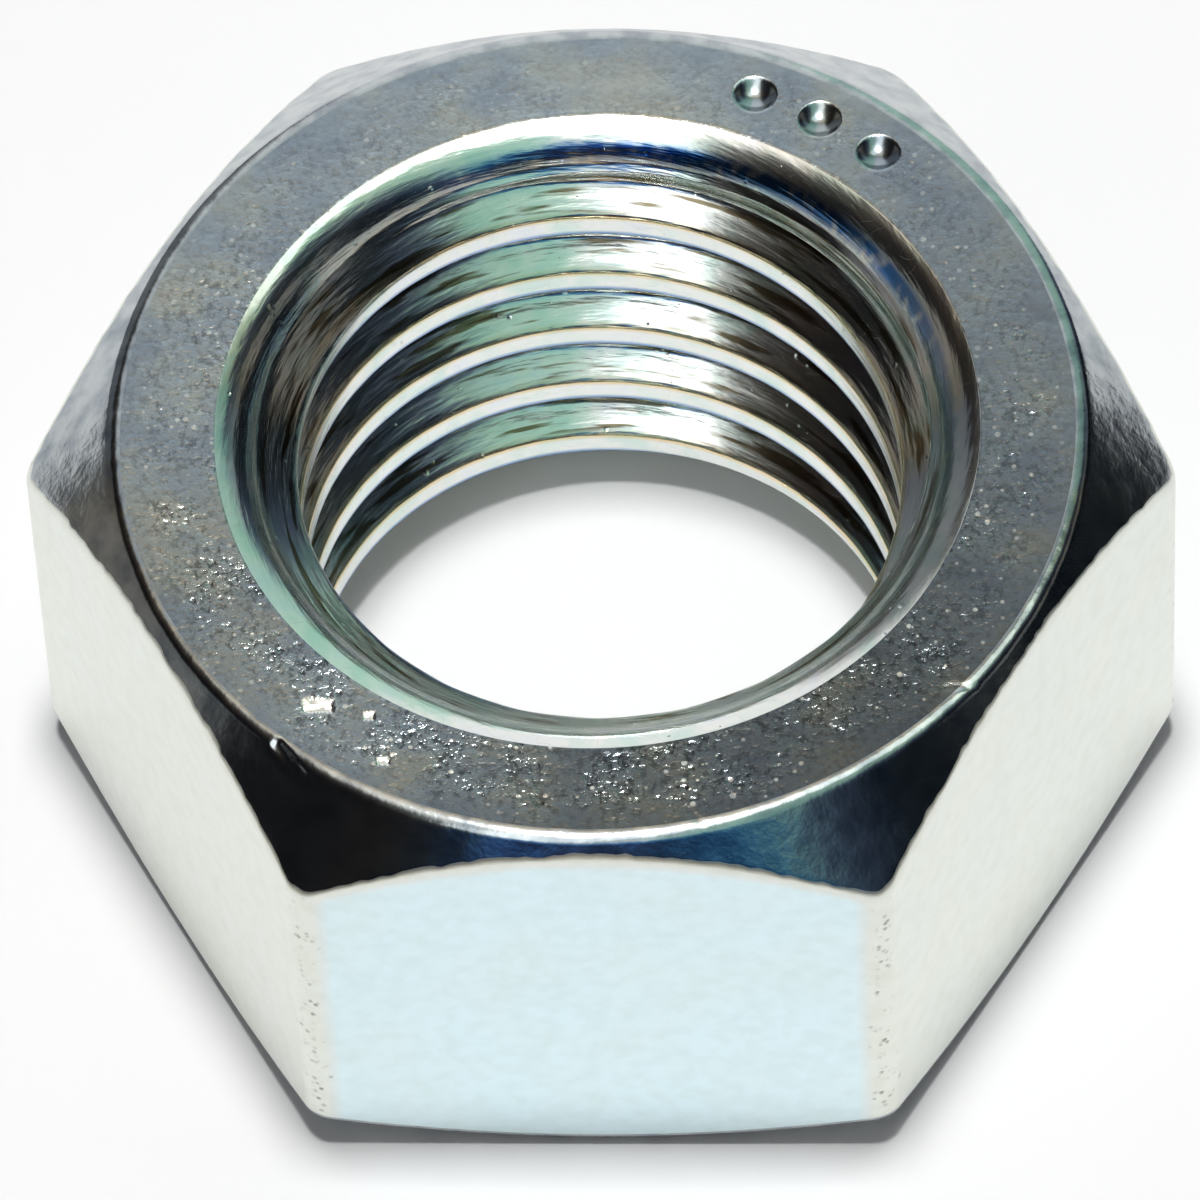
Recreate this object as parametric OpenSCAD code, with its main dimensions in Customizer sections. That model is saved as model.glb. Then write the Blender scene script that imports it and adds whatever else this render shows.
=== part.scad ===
// Hexagon nut, metric coarse right-hand thread, zinc plated steel.
// One solid piece. The origin is the centre of the lower bearing face,
// +Z runs up the thread axis and one pair of flats faces -Y and +Y.

/* [Hexagon] */
// Width across the flats
across_flats = 18; // [15:0.1:24]
// Height from the lower bearing face to the upper one
nut_height = 9.8; // [6:0.1:16]
// How much the rounded corners take off the width across the corners
corner_loss = 0.18; // [0.04:0.02:0.6]

/* [Bearing faces and chamfers] */
// Width of the chamfer in the middle of a flat, at the upper face
top_inset = 0.32; // [0.1:0.02:0.8]
// Slope of the upper chamfer, from the bearing face
top_chamfer_angle = 44; // [15:1:50]
// Width of the chamfer in the middle of a flat, at the lower face
bottom_inset = 0.36; // [0.1:0.02:0.8]
// Slope of the lower chamfer, from the bearing face
bottom_chamfer_angle = 25; // [15:1:50]

/* [Thread] */
// Nominal diameter of the bolt
thread_dia = 12; // [8:0.1:14]
// Rise of the thread in one turn
pitch = 1.75; // [1:0.05:2.1]
// How much the bore is opened past the basic minor diameter
minor_allowance = 0.694; // [0.2:0.002:0.8]
// How much wider the countersink's mouth is than the bolt
countersink_over = 1.7; // [0.2:0.05:2]
// Included angle of the countersinks at both ends
countersink_angle = 107; // [70:1:120]
// Direction in which the groove leaves the lower face
thread_start = -36; // [-180:1:180]

/* [Mark] */
// Number of plain punched dots on the upper face
dot_count = 3; // [1:1:6]
// Diameter of a dot at the surface
dot_dia = 0.8; // [0.3:0.05:1]
// Depth of a dot
dot_depth = 0.16; // [0.05:0.01:0.25]
// Distance between neighbouring dots
dot_step = 1.3; // [1.1:0.05:1.8]
// Direction of the middle of the row of dots
dot_direction = 60; // [-180:1:180]

/* [Hidden] */
$fn = 96;

// Basic thread triangle and the two diameters that follow from it
basic_minor_dia = thread_dia - 5 / 4 * pitch * cos(30);
minor_dia = basic_minor_dia + minor_allowance;
root_flat = pitch / 8;
flank_slope = tan(30);

// Groove cutter: how far it reaches inside the bore, and how fine it is
cutter_reach = 0.15;
steps_per_turn = 48;

across_corners = across_flats / cos(30) - corner_loss;
countersink_dia = thread_dia + countersink_over;
countersink_depth = (countersink_dia - minor_dia) / 2 / tan(countersink_angle / 2);

// Cutting tools pass the surfaces that they cut by this much
overcut = 1;

// A hexagonal bar with flats on -Y and +Y
module hexagon_bar() {
    cylinder(d = across_flats / cos(30), h = nut_height, $fn = 6);
}

// The round blank whose cones and rim trim the bar's ends and corners
module turned_envelope() {
    rim = across_corners / 2;
    bottom_r = across_flats / 2 - bottom_inset;
    top_r = across_flats / 2 - top_inset;
    bottom_drop = (rim - bottom_r) * tan(bottom_chamfer_angle);
    top_drop = (rim - top_r) * tan(top_chamfer_angle);
    rotate_extrude() polygon([
        [0, 0],
        [bottom_r, 0],
        [rim, bottom_drop],
        [rim, nut_height - top_drop],
        [top_r, nut_height],
        [0, nut_height],
    ]);
}

// The plain bore at the minor diameter
module bore() {
    translate([0, 0, -overcut]) cylinder(d = minor_dia, h = nut_height + 2 * overcut);
}

// A cone that opens the bore's lower mouth
module countersink() {
    grow = overcut * tan(countersink_angle / 2);
    translate([0, 0, -overcut]) cylinder(
        d1 = countersink_dia + 2 * grow,
        d2 = minor_dia,
        h = countersink_depth + overcut
    );
}

// Half the groove's width at a given radius
function half_width(r) = root_flat / 2 + (thread_dia / 2 - r) * flank_slope;

// Corners of the groove's section at one step of the helix
function section(step) =
    let (
        angle = thread_start + 360 * (step / steps_per_turn - 1),
        rise = pitch * (step / steps_per_turn - 1),
        inner = minor_dia / 2 - cutter_reach,
        outer = thread_dia / 2
    )
    [
        for (corner = [[inner, -1], [outer, -1], [outer, 1], [inner, 1]])
            [
                corner[0] * cos(angle),
                corner[0] * sin(angle),
                rise + corner[1] * half_width(corner[0])
            ]
    ];

// The helical groove, from below the lower face to above the upper one
module thread_groove() {
    steps = steps_per_turn * (ceil(nut_height / pitch) + 2);
    points = [for (i = [0 : steps]) each section(i)];
    sides = [
        for (i = [0 : steps - 1], k = [0 : 3])
            let (a = 4 * i + k, b = 4 * i + (k + 1) % 4)
            each [[a, b, a + 4], [b, b + 4, a + 4]]
    ];
    start_cap = [[0, 2, 1], [0, 3, 2]];
    last = 4 * steps;
    end_cap = [[last, last + 1, last + 2], [last, last + 2, last + 3]];
    polyhedron(points = points, faces = concat(sides, start_cap, end_cap));
}

// Plain round dents in an arc, where a maker would stamp the strength class
module punched_dots() {
    ball_r = (dot_dia * dot_dia / 4 + dot_depth * dot_depth) / (2 * dot_depth);
    row_r = (countersink_dia + across_flats - 2 * top_inset) / 4;
    step_angle = dot_step / row_r * 180 / PI;
    for (i = [0 : dot_count - 1])
        rotate([0, 0, dot_direction + (i - (dot_count - 1) / 2) * step_angle])
            translate([row_r, 0, nut_height + ball_r - dot_depth])
                sphere(r = ball_r, $fn = 48);
}

module hex_nut() {
    color([0.72, 0.75, 0.77]) difference() {
        intersection() {
            hexagon_bar();
            turned_envelope();
        }
        bore();
        countersink();
        translate([0, 0, nut_height]) mirror([0, 0, 1]) countersink();
        thread_groove();
        punched_dots();
    }
}

hex_nut();
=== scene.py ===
"""M12 hexagon nut, cold formed steel, zinc plated and blue passivated, on white paper."""

import math

import bpy
import numpy as np
from mathutils import Matrix, Vector


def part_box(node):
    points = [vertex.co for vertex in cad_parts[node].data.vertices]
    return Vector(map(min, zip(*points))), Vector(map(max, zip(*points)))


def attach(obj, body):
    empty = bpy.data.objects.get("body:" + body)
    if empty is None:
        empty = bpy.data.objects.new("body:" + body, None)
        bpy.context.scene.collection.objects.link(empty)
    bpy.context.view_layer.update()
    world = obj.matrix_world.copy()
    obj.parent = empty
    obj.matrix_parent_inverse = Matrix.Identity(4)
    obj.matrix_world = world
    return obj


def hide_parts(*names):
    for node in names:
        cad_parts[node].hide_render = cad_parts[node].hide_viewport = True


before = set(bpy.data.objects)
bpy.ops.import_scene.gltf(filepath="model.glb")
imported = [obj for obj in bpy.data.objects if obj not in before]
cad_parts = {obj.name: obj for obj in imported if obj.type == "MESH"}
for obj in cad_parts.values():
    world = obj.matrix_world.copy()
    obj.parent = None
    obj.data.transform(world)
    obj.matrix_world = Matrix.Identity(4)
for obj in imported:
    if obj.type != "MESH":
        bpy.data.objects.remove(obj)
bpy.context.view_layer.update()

MM = 0.001

# Sizes of the nut, in millimetres. The hexagon and the height are the frame's own.
nut_low, nut_high = (np.array(corner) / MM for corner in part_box("hex_nut"))
ACROSS_FLATS = nut_high[1] - nut_low[1]
ACROSS_CORNERS = nut_high[0] - nut_low[0]
HEIGHT = nut_high[2] - nut_low[2]

# Circles where the chamfers begin on the bearing faces, and the chamfers' slopes
TOP_CIRCLE = ACROSS_FLATS / 2 - 0.32
BOTTOM_CIRCLE = ACROSS_FLATS / 2 - 0.36
TOP_SLOPE = math.tan(math.radians(44))
BOTTOM_SLOPE = math.tan(math.radians(25))

# Thread M12 with its flanks at 30 degrees. The tap cut its groove a little wide.
MAJOR_R = 6.0
MINOR_R = 5.4
PITCH = 1.75
FLANK_SLOPE = math.tan(math.radians(30))
THREAD_START = math.radians(-36)
TAP_WEAR = 0.15

# Countersinks, and the lip that rolls over into them: radius, and depth below the face
MOUTH_R = 6.85
MOUTH_SLOPE = math.tan(math.radians(36.5))
LIP_START = 6.87
LIP_BEND = (6.39, 0.12)
LIP_STEP = (6.12, 0.53)

# Three plain punched dots
DOT_ROW_R = 7.765
DOT_DIA = 0.8
DOT_DEPTH = 0.16
DOT_STEP = 1.3
DOT_DIRECTION = math.radians(60)

# How pale and how rough the punch left the upper face, at these directions in degrees
FACE_TURNS = (-150, -125, -90, -45, 0, 90, 180)
FACE_PALE = (0.64, 0.76, 0.38, 0.27, 0.56, 0.98, 0.84)
FACE_STRUCK = (1.0, 1.0, 0.95, 1.0, 0.65, 0.28, 0.75)

# Flakes pressed into the upper face: radius, direction, width, depth and tilt
FLAKES = (
    (7.63, -129.0, 0.54, 0.30, 0.14),
    (7.28, -122.3, 0.20, 0.18, 0.16),
    (7.97, -117.0, 0.22, 0.16, 0.16),
)

# The chip at the rim and the scratches on the upper face:
# radius and direction of both ends, width and depth
SCRATCHES = (
    (8.70, -129.2, 8.96, -123.4, 0.12, 0.060),
    (7.25, -97.5, 8.35, -95.5, 0.07, 0.012),
    (7.60, -100.0, 8.30, -93.8, 0.06, 0.010),
    (8.05, -79.0, 8.65, -76.5, 0.07, 0.014),
    (8.35, -41.5, 8.72, -39.3, 0.08, 0.020),
    (7.10, 172.0, 8.30, 158.0, 0.06, 0.006),
    (7.15, -160.0, 7.90, -150.0, 0.07, 0.010),
)

# How blue each flat came out, from the front one round by the right
FLAT_BLUENESS = (0.95, 0.12, 0.45, 0.65, 0.35, 0.02)

# Finishes, in the order of the material slots
FLAT, BEARING, CHAMFER, THREAD = range(4)

# Fineness of the mesh
COLUMNS = 1000
WALL_ROWS = 210


def soft_max(a, b, blend):
    """The larger of two surfaces, with a fillet of about this size where they meet."""
    near = np.clip(0.5 + 0.5 * (a - b) / blend, 0, 1)
    return b + (a - b) * near + blend * near * (1 - near)


def soft_min(a, b, blend):
    """The smaller of two surfaces, with a fillet where they meet."""
    return -soft_max(-a, -b, blend)


def grain(u, v, cell, seed, lap=0):
    """Smooth random heights from 0 to 1, one value to a cell, repeating each lap of u."""
    cells = 512
    around = max(1, round(lap / cell)) if lap else cells
    heights = np.random.default_rng(seed).random((around, cells))
    along = u / lap * around if lap else u / cell + cells // 2
    across = v / cell + cells // 2
    i, j = np.floor(along).astype(int), np.floor(across).astype(int)
    s, t = along - i, across - j
    s, t = s * s * (3 - 2 * s), t * t * (3 - 2 * t)
    i0, i1, j0, j1 = i % around, (i + 1) % around, j % cells, (j + 1) % cells
    low = heights[i0, j0] * (1 - s) + heights[i1, j0] * s
    high = heights[i0, j1] * (1 - s) + heights[i1, j1] * s
    return low * (1 - t) + high * t


def column_angles():
    """Angles of the mesh's columns, closer together at the six corners."""
    even = np.arange(COLUMNS) / COLUMNS * 2 * math.pi
    return even - 0.5 * np.sin(6 * even) / 6


def turn_from_corner(angle):
    """Angle from the nearest of the six upright corners."""
    return np.mod(angle + math.pi / 6, math.pi / 3) - math.pi / 6


def side_radius(angle):
    """Distance from the axis to the hexagon, whose corners are rounded over."""
    from_corner = turn_from_corner(angle)
    sharp = ACROSS_FLATS / 2 / math.cos(math.pi / 6)
    round_r = (sharp - ACROSS_CORNERS / 2) / (1 / math.cos(math.pi / 6) - 1)
    centre = ACROSS_CORNERS / 2 - round_r
    flat = ACROSS_FLATS / 2 / np.cos(math.pi / 6 - np.abs(from_corner))
    inside = round_r**2 - (centre * np.sin(from_corner)) ** 2
    arc = centre * np.cos(from_corner) + np.sqrt(np.maximum(inside, 0))
    touch = math.atan2(round_r * 0.5, centre + round_r * math.cos(math.pi / 6))
    return np.where(np.abs(from_corner) < touch, arc, flat)


def height_from_groove(angle, z):
    """Height above the nearest turn of the groove's middle, negative below it."""
    rise = PITCH * (angle - THREAD_START) / (2 * math.pi) - TAP_WEAR
    return np.mod(z - rise + PITCH / 2, PITCH) - PITCH / 2


def wall_radius(angle, z):
    """Radius of the tapped bore with a countersink at each end."""
    crest_fillet, root_fillet, mouth_fillet = 0.05, 0.12, 0.06
    off = np.abs(height_from_groove(angle, z))
    flank = MAJOR_R - (off - PITCH / 16 - TAP_WEAR) / FLANK_SLOPE
    thread = soft_min(soft_max(flank, MINOR_R, crest_fillet), MAJOR_R, root_fillet)
    end = np.minimum(z, HEIGHT - z)
    return soft_max(thread, MOUTH_R - end / MOUTH_SLOPE, mouth_fillet)


def rounded_path(points, softness, rows, turns):
    """Rows of points along a path whose corners are rounded over by their softness."""
    r_rows, z_rows = [], []
    last = len(points) - 1
    for k in range(last):
        (r0, z0), (r1, z1) = points[k], points[k + 1]
        length = np.hypot(r1 - r0, z1 - z0)
        begin = softness[k] / length
        finish = 1 - softness[k + 1] / length
        for step in range(rows[k]):
            t = begin + (finish - begin) * step / rows[k]
            r_rows.append(r0 + (r1 - r0) * t)
            z_rows.append(z0 + (z1 - z0) * t)
        if k + 1 == last:
            continue
        r2, z2 = points[k + 2]
        onward = softness[k + 1] / np.hypot(r2 - r1, z2 - z1)
        ra, za = r0 + (r1 - r0) * finish, z0 + (z1 - z0) * finish
        rb, zb = r1 + (r2 - r1) * onward, z1 + (z2 - z1) * onward
        for step in range(turns[k]):
            t = step / turns[k]
            r_rows.append((1 - t) ** 2 * ra + 2 * t * (1 - t) * r1 + t * t * rb)
            z_rows.append((1 - t) ** 2 * za + 2 * t * (1 - t) * z1 + t * t * zb)
    return r_rows, z_rows


def edge_softness(angle):
    """How far the edge between the flats and the upper chamfer is worn back, unevenly."""
    radius = ACROSS_FLATS / 2
    lap = 2 * math.pi * radius
    level = np.zeros_like(angle)
    nicks = grain(angle * radius, level, 0.16, 21, lap) - 0.5
    nicks = nicks + grain(angle * radius, level, 0.45, 22, lap) - 0.5
    return np.clip(0.13 + 0.05 * nicks, 0.08, 0.20)


def nut_rows(angle):
    """Radius and height of every row and column, and the finish of each row."""
    side = side_radius(angle)
    top_edge = HEIGHT - (side - TOP_CIRCLE) * TOP_SLOPE
    bottom_edge = (side - BOTTOM_CIRCLE) * BOTTOM_SLOPE
    wall_end = LIP_STEP[1] + 0.1
    wall_r = MOUTH_R - wall_end / MOUTH_SLOPE
    # Each corner of the section: radius, height, softness, and the rows and finish that follow
    path = [
        (wall_r, HEIGHT - wall_end, 0, 5, THREAD),
        (LIP_STEP[0], HEIGHT - LIP_STEP[1], 0.04, 4, THREAD),
        (LIP_BEND[0], HEIGHT - LIP_BEND[1], 0.43, 20, THREAD),
        (LIP_START, HEIGHT, 0.04, 40, BEARING),
        (TOP_CIRCLE, HEIGHT, 0.16, 14, CHAMFER),
        (side, top_edge, edge_softness(angle), 56, FLAT),
        (side, bottom_edge, 0.18, 8, CHAMFER),
        (BOTTOM_CIRCLE, 0, 0.10, 20, BEARING),
        (LIP_START, 0, 0.04, 4, THREAD),
        (LIP_BEND[0], LIP_BEND[1], 0.43, 4, THREAD),
        (LIP_STEP[0], LIP_STEP[1], 0.04, 4, THREAD),
        (wall_r, wall_end, 0, 0, THREAD),
    ]
    # Rows round each corner in between
    corner_rows = [3, 20, 3, 8, 6, 6, 6, 3, 12, 3]
    level = np.zeros_like(angle)
    points = [(level + r, level + z) for r, z, *rest in path]
    softness = [corner[2] for corner in path]
    rows = [corner[3] for corner in path[:-1]]
    r_rows, z_rows = rounded_path(points, softness, rows, corner_rows)
    finish = []
    for k, row_count in enumerate(rows):
        finish += [path[k][4]] * row_count
        if k < len(corner_rows):
            finish += [path[k + 1][4]] * corner_rows[k]
    for step in range(WALL_ROWS):
        z = level + wall_end + (HEIGHT - 2 * wall_end) * step / WALL_ROWS
        r_rows.append(wall_radius(angle, z))
        z_rows.append(z)
    finish += [THREAD] * WALL_ROWS
    return np.array(r_rows), np.array(z_rows), finish


def nut_mesh():
    """The nut as one closed skin of rows and columns, with what its finishes read."""
    angle = column_angles()
    radius, height, finish = nut_rows(angle)
    count = len(radius)
    x, y = radius * np.cos(angle), radius * np.sin(angle)
    height = height + top_wear(x, y, height)
    points = np.stack([x, y, height], axis=-1).reshape(-1, 3) * MM
    row, column = np.meshgrid(np.arange(count), np.arange(COLUMNS), indexing="ij")
    next_row, next_column = (row + 1) % count, (column + 1) % COLUMNS
    quads = np.stack(
        [
            row * COLUMNS + column,
            next_row * COLUMNS + column,
            next_row * COLUMNS + next_column,
            row * COLUMNS + next_column,
        ],
        axis=-1,
    ).reshape(-1, 4)
    mesh = bpy.data.meshes.new("zinc_plated_nut")
    mesh.from_pydata(points, [], quads)
    mesh.polygons.foreach_set("material_index", np.repeat(finish, COLUMNS))
    mesh.polygons.foreach_set("use_smooth", np.ones(len(quads), bool))
    paint(mesh, "corner_wear", corner_wear(angle, radius).ravel())
    paint(mesh, "in_dot", in_dot(x, y).ravel())
    paint(mesh, "blueness", blueness(angle, radius, height).ravel())
    paint(mesh, "film_tint_and_reflection", film_tint_and_reflection(angle, radius, height).ravel())
    paint(mesh, "fresh", in_flake(x, y).ravel())
    for name, values in (("pale", FACE_PALE), ("struck", FACE_STRUCK)):
        around = np.interp(np.degrees(angle), FACE_TURNS, values, period=360)
        paint(mesh, name, np.broadcast_to(around, radius.shape).ravel())
    mesh.update()
    return mesh


def paint(mesh, name, values):
    """Stores one value per point for the finishes to read."""
    layer = mesh.attributes.new(name, "FLOAT", "POINT")
    layer.data.foreach_set("value", np.ascontiguousarray(values, dtype=np.float32))


def corner_wear(angle, radius):
    """1 on the six upright edges, where the nut knocked against others, to 0 within 1 mm."""
    return np.clip(1.15 - np.abs(turn_from_corner(angle)) * radius / 0.9, 0, 1)


def blueness(angle, radius, z):
    """How blue each flat is: nothing at its upright corners and along its upper edge."""
    sixth = np.mod(angle + math.pi / 2 + math.pi / 6, 2 * math.pi) / (math.pi / 3)
    tone = np.array(FLAT_BLUENESS)[np.floor(sixth).astype(int) % 6]
    from_corner = np.abs(turn_from_corner(angle)) * ACROSS_CORNERS / 2
    from_edge = HEIGHT - (radius - TOP_CIRCLE) * TOP_SLOPE - z
    past_corner = np.clip((from_corner - 0.22) / 0.28, 0, 1)
    past_edge = np.clip((from_edge - 0.05) / 0.22, 0, 1)
    return tone * past_corner * past_edge


def film_tint_and_reflection(angle, radius, z):
    """Blue, up to 1, or straw, down to -1, round the thread and lip: the film's tint, with painted
    reflection in the blue.
    """
    off = height_from_groove(angle, z)
    crest_edge = PITCH / 16 + TAP_WEAR + (MAJOR_R - MINOR_R) * FLANK_SLOPE
    # Painted reflection: blue along each crest's lower edge; straw along its upper edge
    near_edge = np.clip(1 - np.abs(np.abs(off) - crest_edge - 0.03) / 0.13, 0, 1)
    on_crest = np.clip((MINOR_R + 0.3 - radius) / 0.15, 0, 1)
    # Painted reflection in part: a blue patch on the lip, bluest at 58 degrees round
    bluest = math.radians(58)
    away = np.abs(np.mod(angle - bluest + math.pi, 2 * math.pi) - math.pi)
    blotch = np.clip(0.35 + 0.9 * np.exp(-((away / 0.75) ** 2)), 0, 1)
    x, y = radius * np.cos(angle), radius * np.sin(angle)
    spots = np.clip(0.35 + 1.3 * grain(x, y, 0.13, 31), 0, 1)
    on_lip = np.clip(1.5 - np.abs(radius - 6.28) / 0.13, 0, 1) * (z > HEIGHT / 2)
    return np.clip(np.sign(off) * near_edge * on_crest + blotch * spots * on_lip, -1, 1)


def polar(radius, degrees):
    """A place on the upper face."""
    turn = math.radians(degrees)
    return radius * math.cos(turn), radius * math.sin(turn)


def dent(x, y, place, size, depth):
    """A round dent, below the surface by depth."""
    away = np.hypot(x - place[0], y - place[1]) / size
    return -depth * np.clip(1 - away**2, 0, 1)


def gouge(x, y, start, end, width, depth):
    """A scratch from start to end, deepest along its middle."""
    (ax, ay), (bx, by) = start, end
    dx, dy = bx - ax, by - ay
    along = np.clip(((x - ax) * dx + (y - ay) * dy) / (dx * dx + dy * dy), 0, 1)
    away = np.hypot(x - ax - along * dx, y - ay - along * dy) / width
    return -depth * np.clip(1 - away**2, 0, 1)


def facet(x, y, place, size, tilt):
    """A small flat flake pressed in at a tilt, lower towards the front."""
    across, deep = (x - place[0]) / size[0], (y - place[1]) / size[1]
    inside = (np.abs(across) < 0.5) & (np.abs(deep) < 0.5)
    return np.where(inside, tilt * size[1] * (deep - 0.5), 0)


def dot_places():
    """Middles of the three punched dots."""
    turns = [math.degrees(DOT_DIRECTION + k * DOT_STEP / DOT_ROW_R) for k in (-1, 0, 1)]
    return [polar(DOT_ROW_R, turn) for turn in turns]


def in_dot(x, y):
    """1 inside the punched dots, whose walls are smooth."""
    rim = 0.08
    inside = np.zeros_like(x)
    for place in dot_places():
        away = np.hypot(x - place[0], y - place[1])
        inside = np.maximum(inside, np.clip((DOT_DIA / 2 + 0.05 - away) / rim, 0, 1))
    return inside


def in_flake(x, y):
    """1 inside the pressed-in flakes, whose zinc is fresh and bright."""
    inside = np.zeros_like(x)
    for out, turn, wide, deep, _ in FLAKES:
        place = polar(out, turn)
        away = np.maximum(np.abs(x - place[0]) / wide, np.abs(y - place[1]) / deep)
        inside = np.maximum(inside, np.clip((0.55 - away) / 0.08, 0, 1))
    return inside


def top_wear(x, y, z):
    """What stamping and tumbling did to the upper face: waves, dots, flakes and scratches."""
    radius = np.hypot(x, y)
    below_top, fade = 0.25, 0.15
    on_top = np.clip((z - HEIGHT + below_top) / below_top, 0, 1)
    on_face = np.clip((radius - LIP_START + 0.05) / fade, 0, 1)
    on_face = on_face * np.clip((TOP_CIRCLE + 0.1 - radius) / fade, 0, 1)
    waves = -0.008 * grain(x, y, 0.55, 11) - 0.006 * grain(x, y, 0.21, 12)
    lift = waves * on_face * (1 - in_dot(x, y))
    for place in dot_places():
        lift = lift + dent(x, y, place, DOT_DIA / 2, DOT_DEPTH)
    for out, turn, wide, deep, tilt in FLAKES:
        lift = lift + facet(x, y, polar(out, turn), (wide, deep), tilt)
    for out, turn, far_out, far_turn, width, depth in SCRATCHES:
        ends = polar(out, turn), polar(far_out, far_turn)
        lift = lift + gouge(x, y, *ends, width, depth)
    return lift * on_top


def linear(hex_colour):
    """A linear colour from sRGB hex."""
    parts = [int(hex_colour[i : i + 2], 16) / 255 for i in (1, 3, 5)]
    return tuple(
        p / 12.92 if p <= 0.04045 else ((p + 0.055) / 1.055) ** 2.4 for p in parts
    ) + (1,)


def add(tree, kind, inputs=None, out=None, stops=(), **settings):
    """Adds a node with its settings and links, and gives the node or one of its outputs.

    An input is a value or another node's output. Stops are a colour ramp's."""
    made = tree.nodes.new("ShaderNode" + kind)
    for name, value in settings.items():
        setattr(made, name, value)
    for name, value in (inputs or {}).items():
        if isinstance(value, bpy.types.NodeSocket):
            tree.links.new(value, made.inputs[name])
        else:
            made.inputs[name].default_value = value
    for _ in stops[2:]:
        made.color_ramp.elements.new(0.5)
    for k, (position, colour) in enumerate(stops):
        made.color_ramp.elements[k].position = position
        made.color_ramp.elements[k].color = linear(colour)
    return made.outputs[out] if out else made


def metal(name, roughness):
    """A new bare metal material: its node tree, its shader and positions in millimetres."""
    material = bpy.data.materials.new(name)
    material.use_nodes = True
    tree = material.node_tree
    tree.nodes.clear()
    shader = add(tree, "BsdfPrincipled", {"Metallic": 1, "Roughness": roughness})
    add(tree, "OutputMaterial", {"Surface": shader.outputs["BSDF"]})
    place = add(tree, "TexCoord", out="Object")
    mm = add(tree, "VectorMath", {0: place, "Scale": 1 / MM}, "Vector", operation="SCALE")
    return material, tree, shader, mm


def from_axis(tree, mm):
    """Distance from the thread's axis, in millimetres."""
    flat = add(tree, "VectorMath", {0: mm, 1: (1, 1, 0)}, "Vector", operation="MULTIPLY")
    return add(tree, "VectorMath", {0: flat}, "Value", operation="LENGTH")


def corner_pits(tree, mm):
    """Small pits, 1 at their middles, in groups along the worn upright corners."""
    worn = add(tree, "Attribute", out="Fac", attribute_name="corner_wear")
    spot = add(tree, "TexVoronoi", {"Vector": mm, "Scale": 1 / 0.15}, "Distance")
    rim = add(tree, "MapRange", {"Value": spot, "From Min": 0.15, "From Max": 0.42}, "Result")
    pit = add(tree, "Math", {0: 1, 1: rim}, "Value", operation="SUBTRACT")
    group = add(tree, "TexNoise", {"Vector": mm, "Scale": 1 / 0.4, "Detail": 2}, "Fac")
    chance = add(tree, "Math", {0: worn, 1: group}, "Value", operation="ADD")
    here = add(tree, "MapRange", {"Value": chance, "From Min": 1.42, "From Max": 1.65}, "Result")
    return add(tree, "Math", {0: pit, 1: here}, "Value", operation="MULTIPLY")


def zinc_on_pressed_flats():
    """Blue-passivated zinc over cold-pressed steel: a soft, cloudy, milky sheen.

    Clouds are 2.2 mm across and dapples 0.35 mm. The grit, 0.07 mm, and the pits, 0.15 mm,
    are drawn a little coarser than the real ones, so that they show."""
    material, tree, shader, mm = metal("zinc_on_pressed_flats", 0.30)
    clouds = add(tree, "TexNoise", {"Vector": mm, "Scale": 1 / 2.2, "Detail": 3}, "Fac")
    dapple = add(tree, "TexNoise", {"Vector": mm, "Scale": 1 / 0.35, "Detail": 3}, "Fac")
    grit = add(tree, "TexNoise", {"Vector": mm, "Scale": 1 / 0.07, "Detail": 2}, "Fac")
    blue = add(tree, "Attribute", out="Fac", attribute_name="blueness")
    drift = {"Value": clouds, "From Min": 0.35, "From Max": 0.65, "To Min": -0.08, "To Max": 0.08}
    shift = add(tree, "MapRange", drift, "Result")
    tone = add(tree, "Math", {0: blue, 1: shift}, "Value", operation="ADD", use_clamp=True)
    cream_to_blue = [(0.0, "#E6E9E1"), (0.4, "#E3E9E7"), (1.0, "#DEF1F6")]
    tint_layer = add(tree, "ValToRGB", {"Fac": tone}, "Color", cream_to_blue)
    faint = [(0.30, "#F9F9F7"), (0.60, "#FFFFFF")]
    dimmed = add(tree, "ValToRGB", {"Fac": dapple}, "Color", faint)
    layers = {"Fac": 1, "Color1": tint_layer, "Color2": dimmed}
    clean = add(tree, "MixRGB", layers, "Color", blend_type="MULTIPLY")
    pits = corner_pits(tree, mm)
    layers = {"Fac": pits, "Color1": clean, "Color2": linear("#A09E96")}
    colour = add(tree, "MixRGB", layers, "Color")
    tree.links.new(colour, shader.inputs["Base Color"])
    soft = add(tree, "Bump", {"Height": dapple, "Distance": 0.006 * MM}, "Normal")
    fine = {"Height": grit, "Distance": 0.0012 * MM, "Normal": soft}
    gritty = add(tree, "Bump", fine, "Normal")
    sunk = {"Height": pits, "Distance": 0.020 * MM, "Normal": gritty}
    tree.links.new(add(tree, "Bump", sunk, "Normal", invert=True), shader.inputs["Normal"])
    return material


def face_roughness(tree, mm):
    """How rough the bearing face is: in patches of 0.9 mm, less at the rim and in the dots."""
    dot = add(tree, "Attribute", out="Fac", attribute_name="in_dot")
    struck = add(tree, "Attribute", out="Fac", attribute_name="struck")
    smooth_dot = add(tree, "MapRange", {"Value": dot, "To Min": 1, "To Max": 0.3}, "Result")
    rim = {"Value": from_axis(tree, mm), "From Min": 7.9, "From Max": 8.5}
    smooth_rim = add(tree, "MapRange", rim | {"To Min": 1, "To Max": 0.4}, "Result")
    patches = add(tree, "TexNoise", {"Vector": mm, "Scale": 1 / 0.9, "Detail": 2}, "Fac")
    spread = {"Value": patches, "From Min": 0.36, "From Max": 0.64, "To Min": 0.45, "To Max": 1}
    dense = add(tree, "MapRange", spread, "Result")
    bare = add(tree, "Math", {0: smooth_dot, 1: smooth_rim}, "Value", operation="MULTIPLY")
    rough = add(tree, "Math", {0: bare, 1: struck}, "Value", operation="MULTIPLY")
    return add(tree, "Math", {0: rough, 1: dense}, "Value", operation="MULTIPLY")


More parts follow.
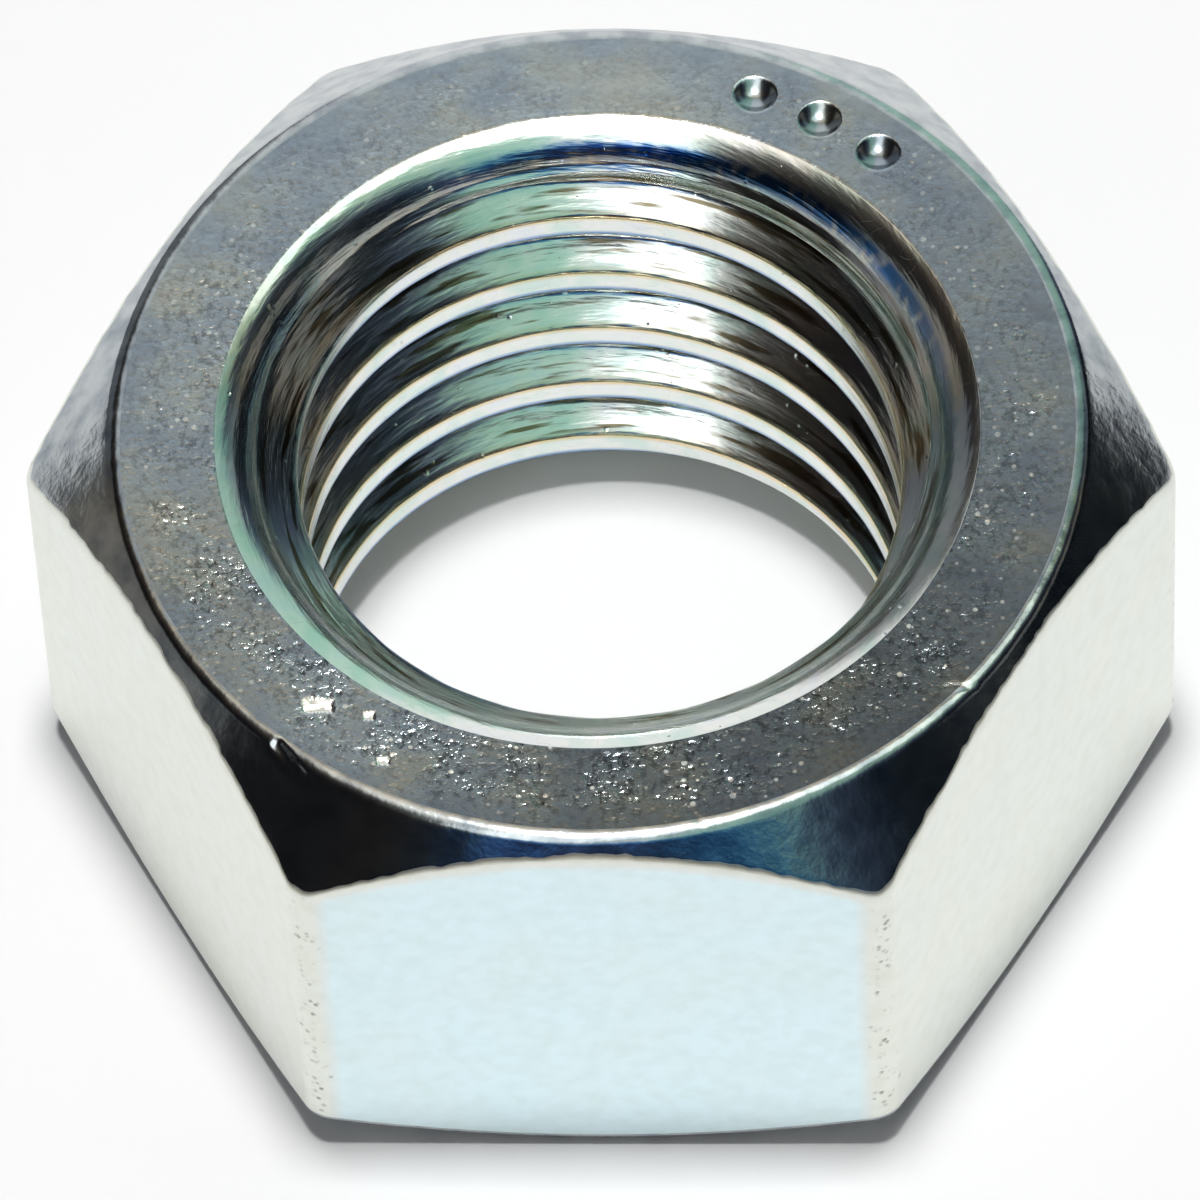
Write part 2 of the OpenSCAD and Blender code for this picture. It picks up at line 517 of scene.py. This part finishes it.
def face_glints_and_flakes(tree, mm, roughness):
    """Painted glints: bright flecks up to 0.15 mm across where the face is rough, for the sparkle
    of rubbed zinc, and the flakes; 1 where the zinc is fresh.
    """
    cell = add(tree, "TexVoronoi", {"Vector": mm, "Scale": 1 / 0.17})
    sizes = {"Value": cell.outputs["Color"], "From Min": 0.45, "To Max": 0.44}
    size = add(tree, "MapRange", sizes, "Result")
    span = {0: size, 1: cell.outputs["Distance"]}
    inside = add(tree, "Math", span, "Value", operation="SUBTRACT")
    fleck = add(tree, "MapRange", {"Value": inside, "From Max": 0.12}, "Result")
    glints_where_rough = add(tree, "Math", {0: fleck, 1: roughness}, "Value", operation="MULTIPLY")
    flake = add(tree, "Attribute", out="Fac", attribute_name="fresh")
    return add(tree, "Math", {0: glints_where_rough, 1: flake}, "Value", operation="MAXIMUM")


def zinc_on_bearing_faces():
    """Zinc over a punched, rumbled face: grey between, with sparkling grit, painted shade in the
    grit's hollows, and painted glints for its flecks.

    Clouds are 1.5 mm across and pits 0.19 mm. The grit, 0.12 mm, is drawn a little coarser
    than the real one, so that it shows."""
    material, tree, shader, mm = metal("zinc_on_bearing_faces", 0.17)
    clouds = add(tree, "TexNoise", {"Vector": mm, "Scale": 1 / 1.5, "Detail": 3}, "Fac")
    grains = {"Vector": mm, "Scale": 1 / 0.12, "Detail": 3, "Roughness": 0.6}
    grit = add(tree, "TexNoise", grains, "Fac")
    roughness = face_roughness(tree, mm)
    pale = add(tree, "Attribute", out="Fac", attribute_name="pale")
    greys = [(0.32, "#A3AFBB"), (0.48, "#B2BDC4"), (0.62, "#BFC5C1"), (0.72, "#C7C8C1")]
    tint_layer = add(tree, "ValToRGB", {"Fac": clouds}, "Color", greys)
    layers = {"Fac": 1, "Color1": tint_layer, "Color2": pale}
    dull = add(tree, "MixRGB", layers, "Color", blend_type="MULTIPLY")
    # Painted shade: the hollows of the grit's bump are darkened in the colour, most where the face
    # is rough
    shaded_hollows = [(0.36, "#8C8C8C"), (0.52, "#FFFFFF")]
    shade = add(tree, "ValToRGB", {"Fac": grit}, "Color", shaded_hollows)
    layers = {"Fac": roughness, "Color1": dull, "Color2": shade}
    gritty = add(tree, "MixRGB", layers, "Color", blend_type="MULTIPLY")
    # Painted glints: the flecks lighten the colour to near white; the flakes are fresh bright zinc
    bright = face_glints_and_flakes(tree, mm, roughness)
    layers = {"Fac": bright, "Color1": gritty, "Color2": linear("#F2F2EC")}
    tree.links.new(add(tree, "MixRGB", layers, "Color"), shader.inputs["Base Color"])
    spot = add(tree, "TexVoronoi", {"Vector": mm, "Scale": 1 / 0.19}, "Distance")
    pits = add(tree, "MapRange", {"Value": spot, "From Min": 0.10, "From Max": 0.45}, "Result")
    raised = {"Height": grit, "Distance": 0.026 * MM, "Strength": roughness}
    raised_normal = add(tree, "Bump", raised, "Normal")
    sunk = {"Height": pits, "Distance": 0.010 * MM, "Strength": roughness, "Normal": raised_normal}
    tree.links.new(add(tree, "Bump", sunk, "Normal"), shader.inputs["Normal"])
    return material


def zinc_on_turned_chamfers():
    """Zinc over a smooth cone: a near mirror, faintly mottled.

    The mottling is 0.5 mm across. The grit, 0.09 mm, is drawn a little coarser than the
    real one, so that it shows."""
    material, tree, shader, mm = metal("zinc_on_turned_chamfers", 0.14)
    mottle = add(tree, "TexNoise", {"Vector": mm, "Scale": 1 / 0.5, "Detail": 4}, "Fac")
    grit = add(tree, "TexNoise", {"Vector": mm, "Scale": 1 / 0.09, "Detail": 2}, "Fac")
    greys = [(0.30, "#98A0A8"), (0.60, "#C0C6C8")]
    colour = add(tree, "ValToRGB", {"Fac": mottle}, "Color", greys)
    tree.links.new(colour, shader.inputs["Base Color"])
    soft = add(tree, "Bump", {"Height": mottle, "Distance": 0.009 * MM}, "Normal")
    fine = {"Height": grit, "Distance": 0.0015 * MM, "Normal": soft}
    tree.links.new(add(tree, "Bump", fine, "Normal"), shader.inputs["Normal"])
    return material


def tap_lines(tree, x, y, level, spacing, shortness):
    """Noise drawn out along the thread: its lines' spacing in millimetres, and how short
    they are."""
    fine_level = add(tree, "Math", {0: level, 1: 1 / spacing}, "Value", operation="MULTIPLY")
    place = add(tree, "CombineXYZ", {"X": x, "Y": y, "Z": fine_level}, "Vector")
    return add(tree, "TexNoise", {"Vector": place, "Scale": shortness, "Detail": 3}, "Fac")


def thread_pits(tree, mm):
    """Scattered pits up to 0.15 mm across, 0 at their middles."""
    spot = add(tree, "TexVoronoi", {"Vector": mm, "Scale": 1 / 0.3}, "Distance")
    chance = add(tree, "TexNoise", {"Vector": mm, "Scale": 1 / 0.7, "Detail": 1}, "Fac")
    sizes = {"Value": chance, "From Min": 0.5, "From Max": 0.75, "To Max": 0.28}
    size = add(tree, "MapRange", sizes, "Result")
    return add(tree, "MapRange", {"Value": spot, "From Max": size}, "Result")


def zinc_on_tapped_thread():
    """Zinc over cut thread: bright, scored along the tap's path, with a painted blue reflection
    along the crests' lower edges and on the lip, and straw along the crests' upper edges.

    The mottling is 0.8 mm across. The drag lines, 0.075 mm apart, and the brown scores,
    0.045 mm apart, are drawn a little coarser than the real ones, so that they show."""
    material, tree, shader, mm = metal("zinc_on_tapped_thread", 0.15)
    x, y, z = add(tree, "SeparateXYZ", {"Vector": mm}).outputs
    turn = add(tree, "Math", {0: x, 1: y}, "Value", operation="ARCTAN2")
    rise = {0: turn, 1: PITCH / (2 * math.pi), 2: z}
    level = add(tree, "Math", rise, "Value", operation="MULTIPLY_ADD")
    # The lines fade out where the turn jumps from one end of its range to the other
    turned = add(tree, "Math", {0: turn}, "Value", operation="ABSOLUTE")
    seam = {"Value": turned, "From Min": 2.95, "From Max": 3.1, "To Min": 1, "To Max": 0}
    fade = add(tree, "MapRange", seam, "Result")
    drag = tap_lines(tree, x, y, level, 0.075, 0.9)
    scores = tap_lines(tree, x, y, level, 0.045, 0.55)

    mottle = add(tree, "TexNoise", {"Vector": mm, "Scale": 1 / 0.8, "Detail": 2}, "Fac")
    brights = [(0.35, "#D2E2DC"), (0.55, "#E8EAE6"), (0.70, "#E2E6EA")]
    clean = add(tree, "ValToRGB", {"Fac": mottle}, "Color", brights)
    radius = from_axis(tree, mm)
    flank = {"Value": radius, "From Min": MINOR_R + 0.04, "From Max": MINOR_R + 0.12}
    on_flank = add(tree, "MapRange", flank, "Result")
    wall = {"Value": radius, "From Min": MAJOR_R, "From Max": LIP_STEP[0], "To Min": 1, "To Max": 0}
    on_wall = add(tree, "MapRange", wall, "Result")
    on_thread = add(tree, "Math", {0: on_flank, 1: on_wall}, "Value", operation="MULTIPLY")
    marked = add(tree, "Math", {0: on_thread, 1: fade}, "Value", operation="MULTIPLY")
    brown_lines = [(0.38, "#94866F"), (0.46, "#FFFFFF")]
    streak = add(tree, "ValToRGB", {"Fac": scores}, "Color", brown_lines)
    layers = {"Fac": marked, "Color1": clean, "Color2": streak}
    scored = add(tree, "MixRGB", layers, "Color", blend_type="MULTIPLY")
    # Blue and straw along the crests and on the lip, the blue partly a painted reflection
    tone = add(tree, "Attribute", out="Fac", attribute_name="film_tint_and_reflection")
    shifted = add(tree, "MapRange", {"Value": tone, "From Min": -1, "From Max": 1}, "Result")
    straw_to_blue = [(0, "#FFE2B0"), (0.4, "#FFFFFF"), (0.6, "#FFFFFF"), (1, "#5A90D4")]
    tint_layer = add(tree, "ValToRGB", {"Fac": shifted}, "Color", straw_to_blue)
    layers = {"Fac": 1, "Color1": scored, "Color2": tint_layer}
    colour = add(tree, "MixRGB", layers, "Color", blend_type="MULTIPLY")
    tree.links.new(colour, shader.inputs["Base Color"])

    raised = {"Height": drag, "Distance": 0.014 * MM, "Strength": fade}
    lines = add(tree, "Bump", raised, "Normal")
    sunk = {"Height": thread_pits(tree, mm), "Distance": 0.010 * MM, "Normal": lines}
    tree.links.new(add(tree, "Bump", sunk, "Normal"), shader.inputs["Normal"])
    return material


def make_nut():
    """The whole nut, with its four finishes in the order of the material slots."""
    mesh = nut_mesh()
    mesh.materials.append(zinc_on_pressed_flats())
    mesh.materials.append(zinc_on_bearing_faces())
    mesh.materials.append(zinc_on_turned_chamfers())
    mesh.materials.append(zinc_on_tapped_thread())
    nut = bpy.data.objects.new("nut", mesh)
    bpy.context.scene.collection.objects.link(nut)
    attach(nut, "root")
    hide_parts("hex_nut")


def make_floor():
    """A sheet of matt white paper, 1 m square."""
    half = 0.5
    corners = [(-half, -half, 0), (half, -half, 0), (half, half, 0), (-half, half, 0)]
    mesh = bpy.data.meshes.new("paper_floor")
    mesh.from_pydata(corners, [], [(0, 1, 2, 3)])
    material = bpy.data.materials.new("matt_white_paper")
    material.use_nodes = True
    tree = material.node_tree
    tree.nodes.clear()
    matt = {"Base Color": linear("#F4F4F4"), "Roughness": 0.9, "Specular IOR Level": 0.1}
    add(tree, "OutputMaterial", {"Surface": add(tree, "BsdfPrincipled", matt, "BSDF")})
    mesh.materials.append(material)
    floor = bpy.data.objects.new("paper_floor", mesh)
    bpy.context.scene.collection.objects.link(floor)


def room_colours(tree):
    """Colours of the room by direction: pale behind and overhead, blue low in front.

    The walls left and right are dark, with a mint tinge on the right. A grey haze lightens
    them low down, so that the nut isn't black from the side."""
    place = add(tree, "TexCoord", out="Generated")
    x, y, z = add(tree, "SeparateXYZ", {"Vector": place}).outputs
    depth = add(tree, "MapRange", {"Value": y, "From Min": -1, "From Max": 1}, "Result")
    along = add(tree, "ValToRGB", {"Fac": depth}, "Color", [
        (0.000, "#F4E2BE"), (0.020, "#D8B88C"), (0.042, "#4A3A38"), (0.060, "#20222C"),
        (0.090, "#243250"), (0.118, "#3468AC"), (0.145, "#6AA0D0"), (0.170, "#E4F2F6"),
        (0.680, "#FFF0DC"), (0.715, "#DCC8A8"), (0.745, "#B4B4B0"), (0.775, "#BCC2C8"),
        (0.850, "#E8ECEA"), (0.950, "#FFFFFF"),
    ])
    width = add(tree, "MapRange", {"Value": x, "From Min": -1, "From Max": 1}, "Result")
    across = add(tree, "ValToRGB", {"Fac": width}, "Color", [
        (0.150, "#121216"), (0.250, "#2C2420"), (0.315, "#54504C"), (0.370, "#FFFFFF"),
        (0.550, "#FFFFFF"), (0.585, "#C6E6D8"), (0.730, "#A6CCBE"), (0.770, "#5C6A78"),
        (0.800, "#3A4256"), (0.860, "#101820"),
    ])
    hazy = add(tree, "ValToRGB", {"Fac": width}, "Color", [
        (0.300, "#7E8084"), (0.370, "#FFFFFF"), (0.550, "#FFFFFF"), (0.585, "#C6E6D8"),
        (0.730, "#A6CCBE"), (0.800, "#8A969A"), (0.900, "#7E8084"),
    ])
    behind = add(tree, "MapRange", {"Value": y, "From Min": -0.3, "From Max": -0.1}, "Result")
    lean = add(tree, "Math", {0: x, 1: -0.25, 2: z}, "Value", operation="MULTIPLY_ADD")
    risen = add(tree, "MapRange", {"Value": lean, "From Min": 0.15, "From Max": 0.26}, "Result")
    below = add(tree, "MapRange", {"Value": z, "From Min": 0.62, "From Max": 0.5}, "Result")
    band = add(tree, "Math", {0: risen, 1: below}, "Value", operation="MULTIPLY")
    haze = add(tree, "Math", {0: band, 1: behind}, "Value", operation="MULTIPLY")
    sides = add(tree, "MixRGB", {"Fac": haze, "Color1": across, "Color2": hazy}, "Color")
    walls = {"Fac": 1, "Color1": along, "Color2": sides}
    both = add(tree, "MixRGB", walls, "Color", blend_type="MULTIPLY")
    # Close to the floor in front, the room is plain grey
    low = add(tree, "MapRange", {"Value": z, "From Min": 0.34, "From Max": 0.20}, "Result")
    ahead = add(tree, "MapRange", {"Value": y, "From Min": 0, "From Max": -0.2}, "Result")
    near_floor = add(tree, "Math", {0: low, 1: ahead}, "Value", operation="MULTIPLY")
    layers = {"Fac": near_floor, "Color1": both, "Color2": linear("#B4B0A8")}
    return add(tree, "MixRGB", layers, "Color")


def make_room():
    """The room that the metal mirrors, a faint even fill for the paper, and a pale sky."""
    world = bpy.data.worlds.new("studio")
    bpy.context.scene.world = world
    world.use_nodes = True
    tree = world.node_tree
    tree.nodes.clear()
    ray = add(tree, "LightPath").outputs
    room = {"Color": room_colours(tree), "Strength": 1}
    mirrored = add(tree, "Background", room, "Background")
    white = {"Color": linear("#FFFFFF"), "Strength": 0.06}
    fill = add(tree, "Background", white, "Background")
    pale = {"Color": linear("#FAFAFA"), "Strength": 1}
    sky = add(tree, "Background", pale, "Background")
    lit = add(tree, "MixShader", {"Fac": ray["Is Diffuse Ray"], 1: mirrored, 2: fill}, "Shader")
    seen = add(tree, "MixShader", {"Fac": ray["Is Camera Ray"], 1: lit, 2: sky}, "Shader")
    add(tree, "OutputWorld", {"Surface": seen})


def area_light(name, place, turn, size, watts):
    """A soft light that faces straight down, turned about the upright by some degrees."""
    light = bpy.data.lights.new(name, "AREA")
    light.shape = "RECTANGLE"
    light.size, light.size_y = size
    light.energy = watts
    lamp = bpy.data.objects.new(name, light)
    lamp.location = place
    lamp.rotation_euler = (0, 0, math.radians(turn))
    bpy.context.scene.collection.objects.link(lamp)


def make_lights():
    """A narrow dim panel that the metal mirrors, and a compact lamp above for close shadows."""
    area_light("overhead_panel", (0.01, -0.22, 1.0), -30, (0.34, 1.6), 1.6)
    area_light("overhead_lamp", (0.0, 0.02, 1.2), 0, (0.20, 0.20), 12.3)


def make_camera():
    """A long lens on a stand, a little right of the front flat and high above it."""
    azimuth, elevation, roll = math.radians(3.794), math.radians(56.337), math.radians(-3.147)
    distance = 0.24766
    aim = Vector((-0.092, -0.460, 4.9)) * MM
    back_x = math.sin(azimuth) * math.cos(elevation)
    back_y = -math.cos(azimuth) * math.cos(elevation)
    back = Vector((back_x, back_y, math.sin(elevation)))
    level = Vector((math.cos(azimuth), math.sin(azimuth), 0))
    right = level * math.cos(roll) + back.cross(level) * math.sin(roll)
    up = back.cross(right)
    data = bpy.data.cameras.new("camera")
    data.lens = 410.58
    data.sensor_width = 36
    data.clip_start = 0.01
    data.clip_end = 20
    camera = bpy.data.objects.new("camera", data)
    turn = Matrix((right, up, back)).transposed().to_4x4()
    camera.matrix_world = Matrix.Translation(aim + back * distance) @ turn
    bpy.context.scene.collection.objects.link(camera)
    bpy.context.scene.camera = camera


make_camera()
make_floor()
make_room()
make_lights()
make_nut()
bpy.context.scene.view_settings.view_transform = "Standard"
